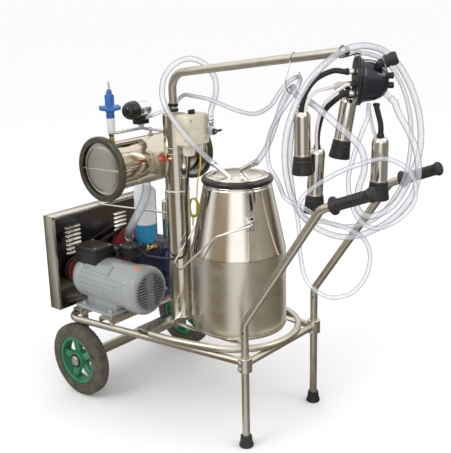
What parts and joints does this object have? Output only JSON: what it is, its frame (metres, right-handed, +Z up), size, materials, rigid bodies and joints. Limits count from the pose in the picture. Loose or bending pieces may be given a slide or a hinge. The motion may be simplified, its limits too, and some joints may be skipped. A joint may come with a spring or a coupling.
{
  "type": "milking machine",
  "caption": "Trolley milking machine: tubular two-wheel frame, milk bucket, vacuum tank, belt-driven pump and motor, pulsator, and a teat-cup cluster hung from a mast with its hoses.",
  "frame": {"origin": "on the floor under the middle of the machine's box, hoses left out; the two legs stand on the line X = 0.196 m", "axes": "+Z up; +X toward the handles and the legs, -X toward the wheels; +Y toward the far side, where the vacuum pump is"},
  "size_m": [1.2573, 0.578, 1.2084],
  "materials": {
    "frame_steel": "satin stainless tube",
    "stainless": "brushed stainless sheet",
    "polished_steel": "polished stainless",
    "zinc_wire": "bright zinc",
    "black_rubber": "moulded black rubber, dusty",
    "tyre": "solid rubber, worn tread",
    "black_plastic": "moulded black plastic",
    "grey_paint": "light grey gloss paint on cast aluminium",
    "navy_paint": "dark blue gloss paint on cast iron",
    "red_paint": "red paint on cast iron",
    "red_plastic": "red moulded knob",
    "blue_plastic": "blue moulded plastic",
    "green_casting": "green painted casting",
    "cream_plastic": "aged cream plastic",
    "bottle_plastic": "translucent white plastic",
    "clear_hose": "clear soft hose",
    "smoked_plastic": "smoked transparent plastic",
    "yellow_wire": "yellow and green sheath"
  },
  "bodies": {
    "chassis": {"frame_loop": "frame_steel", "bucket_cradle": "frame_steel", "axle_carrier": "frame_steel", "leg_near": "frame_steel", "leg_far": "frame_steel", "mast_bar": "frame_steel", "front_motor_channel": "stainless", "belt_guard": "stainless", "bucket_body": "stainless", "post": "polished_steel", "tank_shell": "polished_steel", "tank_cover": "polished_steel", "pulsator_body": "polished_steel", "muffler": "polished_steel", "cup_shell_1": "polished_steel", "cup_shell_2": "polished_steel", "cup_shell_3": "polished_steel", "cup_shell_4": "polished_steel", "hose_hook": "zinc_wire", "cluster_hook": "zinc_wire", "grip_near": "black_rubber", "grip_far": "black_rubber", "tank_seal_near": "black_rubber", "tank_seal_far": "black_rubber", "drive_belt": "black_rubber", "bucket_seal": "black_rubber", "cup_liner_1": "black_rubber", "cup_liner_2": "black_rubber", "cup_liner_3": "black_rubber", "cup_liner_4": "black_rubber", "motor_cable": "black_rubber", "pulsator_cover": "black_plastic", "wiring_boxes": "black_plastic", "claw_base": "black_plastic", "motor_frame": "grey_paint", "fan_cover": "grey_paint", "pump_body": "navy_paint", "regulator_body": "blue_plastic", "oiler_base": "blue_plastic", "switch_box": "cream_plastic", "oiler_bottle": "bottle_plastic", "vacuum_hose": "clear_hose", "milk_hose": "clear_hose", "pulse_hose": "clear_hose", "suction_hose": "clear_hose", "claw_bowl": "smoked_plastic", "earth_wire": "yellow_wire"},
    "wheel_near": {"tyre_near": "tyre", "hub_near": "green_casting"},
    "wheel_far": {"tyre_far": "tyre", "hub_far": "green_casting"},
    "pump_rotor": {"pump_pulley": "red_paint"},
    "motor_rotor": {"motor_pulley": "red_paint"},
    "lid": {"bucket_lid": "polished_steel"},
    "bail": {"bucket_bail": "stainless"},
    "shutoff": {"claw_shutoff": "black_rubber"},
    "tap": {"tap_lever": "black_plastic"},
    "drain_knob": {"valve_knob": "red_plastic"},
    "switch": {"switch_knob": "black_plastic"},
    "regulator_stem": {"regulator_pin": "zinc_wire"}
  },
  "joints": [
    {"name": "wheel_near_spin", "type": "hinge", "parent": "chassis", "child": "wheel_near", "pos_m": [-0.46986, -0.261, 0.128], "axis": [0, 1, 0], "continuous": true},
    {"name": "wheel_far_spin", "type": "hinge", "parent": "chassis", "child": "wheel_far", "pos_m": [-0.46986, 0.261, 0.128], "axis": [0, 1, 0], "continuous": true},
    {"name": "pump_spin", "type": "hinge", "parent": "chassis", "child": "pump_rotor", "pos_m": [-0.59486, 0.105, 0.42], "axis": [1, 0, 0], "continuous": true},
    {"name": "motor_spin", "type": "hinge", "parent": "chassis", "child": "motor_rotor", "pos_m": [-0.59486, -0.15, 0.397], "axis": [1, 0, 0], "continuous": true},
    {"name": "lid_lift", "type": "slide", "parent": "chassis", "child": "lid", "axis": [0, 0, 1], "range_m": [0, 0.04], "deforming": ["vacuum_hose", "milk_hose"]},
    {"name": "bail_swing", "type": "hinge", "parent": "chassis", "child": "bail", "pos_m": [0.03014, 0, 0.675], "axis": [-0.829, 0.5592, 0], "range_deg": [0, 60]},
    {"name": "shutoff_pull", "type": "slide", "parent": "chassis", "child": "shutoff", "axis": [0.8176, 0.4603, 0.3458], "range_m": [0, 0.006]},
    {"name": "tap_turn", "type": "hinge", "parent": "chassis", "child": "tap", "pos_m": [-0.04256, -0.02, 0.925], "axis": [1, 0, 0], "range_deg": [0, 90]},
    {"name": "drain_knob_turn", "type": "hinge", "parent": "chassis", "child": "drain_knob", "pos_m": [-0.17586, -0.107, 0.842], "axis": [0, -1, 0], "range_deg": [0, 270]},
    {"name": "switch_turn", "type": "hinge", "parent": "chassis", "child": "switch", "pos_m": [-0.09686, -0.061, 0.98], "axis": [0, 0, 1], "range_deg": [0, 90]},
    {"name": "regulator_stem_lift", "type": "slide", "parent": "chassis", "child": "regulator_stem", "axis": [0, 0, 1], "range_m": [0, 0.003]}
  ],
  "couplings": [
    {"joint": "motor_spin", "follows": "pump_spin", "ratio": 1.9211}
  ]
}
